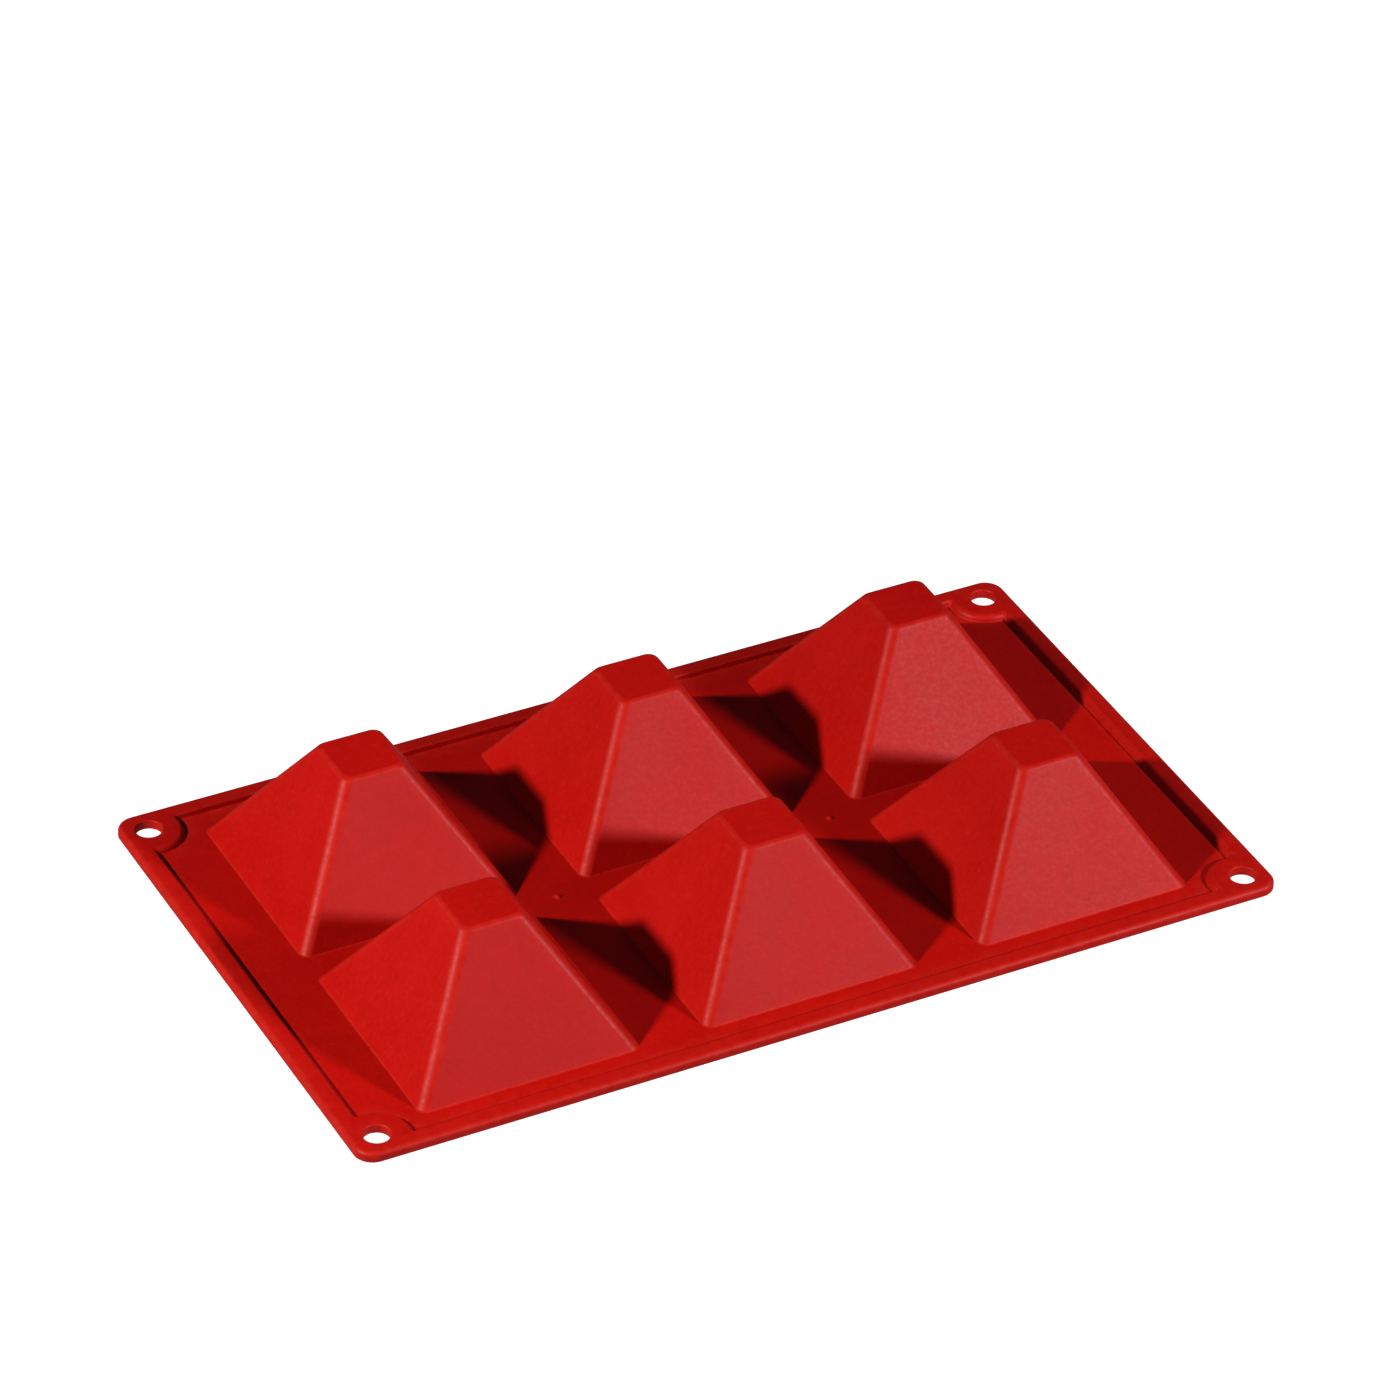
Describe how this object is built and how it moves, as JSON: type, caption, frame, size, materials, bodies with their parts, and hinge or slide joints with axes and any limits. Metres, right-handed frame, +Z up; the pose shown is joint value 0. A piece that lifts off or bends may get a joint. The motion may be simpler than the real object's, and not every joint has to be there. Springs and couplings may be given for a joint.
{
  "type": "resin casting mould",
  "caption": "Flexible silicone casting mould: a rimmed rectangular sheet with rows of hollow truncated-pyramid cavities and a hanging hole in a raised pad at each corner.",
  "frame": {"origin": "centre of the flat underside, the face with the cavity mouths, that the mould rests on as shown", "axes": "+X along the long side to the right, +Y along the short side to the back, +Z up through the closed ends of the cups"},
  "size_m": [0.3, 0.175, 0.0412],
  "materials": {
    "silicone": "satin, slightly dusty moulded silicone"
  },
  "bodies": {
    "middle_column": {"web_sheet_middle": "silicone", "side_rim_front_middle": "silicone", "side_rim_back_middle": "silicone", "flex_strip_left": "silicone", "flex_strip_right": "silicone", "cavity_cup_front_middle": "silicone", "cavity_cup_back_middle": "silicone"},
    "left_column": {"web_sheet_left": "silicone", "side_rim_front_left": "silicone", "side_rim_back_left": "silicone", "end_rim_left": "silicone", "corner_pad_front_left": "silicone", "corner_pad_back_left": "silicone", "cavity_cup_front_left": "silicone", "cavity_cup_back_left": "silicone"},
    "right_column": {"web_sheet_right": "silicone", "side_rim_front_right": "silicone", "side_rim_back_right": "silicone", "end_rim_right": "silicone", "corner_pad_front_right": "silicone", "corner_pad_back_right": "silicone", "cavity_cup_front_right": "silicone", "cavity_cup_back_right": "silicone"}
  },
  "joints": [
    {"name": "fold_left", "type": "hinge", "parent": "middle_column", "child": "left_column", "pos_m": [-0.04535, 0, 0.0008], "axis": [0, 1, 0], "range_deg": [-60, 60], "stiffness_Nm_per_rad": 0.02, "deforming": ["flex_strip_left"]},
    {"name": "fold_right", "type": "hinge", "parent": "middle_column", "child": "right_column", "pos_m": [0.04535, 0, 0.0008], "axis": [0, -1, 0], "range_deg": [-60, 60], "stiffness_Nm_per_rad": 0.02, "deforming": ["flex_strip_right"]}
  ]
}
